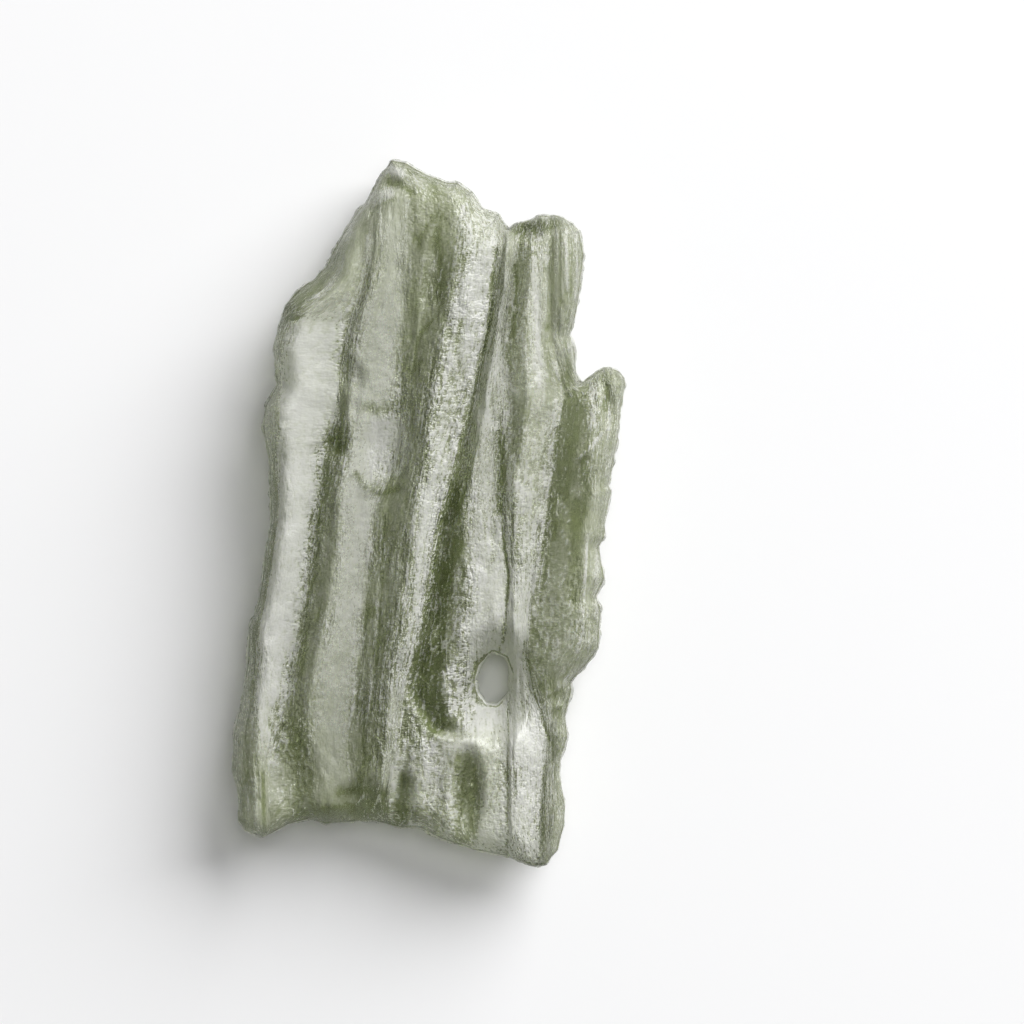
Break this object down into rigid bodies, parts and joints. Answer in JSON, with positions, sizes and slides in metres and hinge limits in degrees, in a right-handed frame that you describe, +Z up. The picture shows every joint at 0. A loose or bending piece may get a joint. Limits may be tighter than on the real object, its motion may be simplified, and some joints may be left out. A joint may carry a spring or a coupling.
{
  "type": "moldavite",
  "caption": "Flat fluted shard of pale olive natural glass, with a deep pocket and a small window broken through its floor.",
  "frame": {"origin": "on the surface that the stone lies on, under the middle of its bounding box", "axes": "+Y along the stone towards its pointed end, +X towards the side with the ear, +Z up out of the fluted front face; the stone lies on its back"},
  "size_m": [0.0198, 0.0354, 0.0058],
  "materials": {
    "etched_glass": "see-through pale olive natural glass with an etched, finely striated, half-matt surface"
  },
  "bodies": {
    "root": {"moldavite": "etched_glass"}
  },
  "joints": []
}
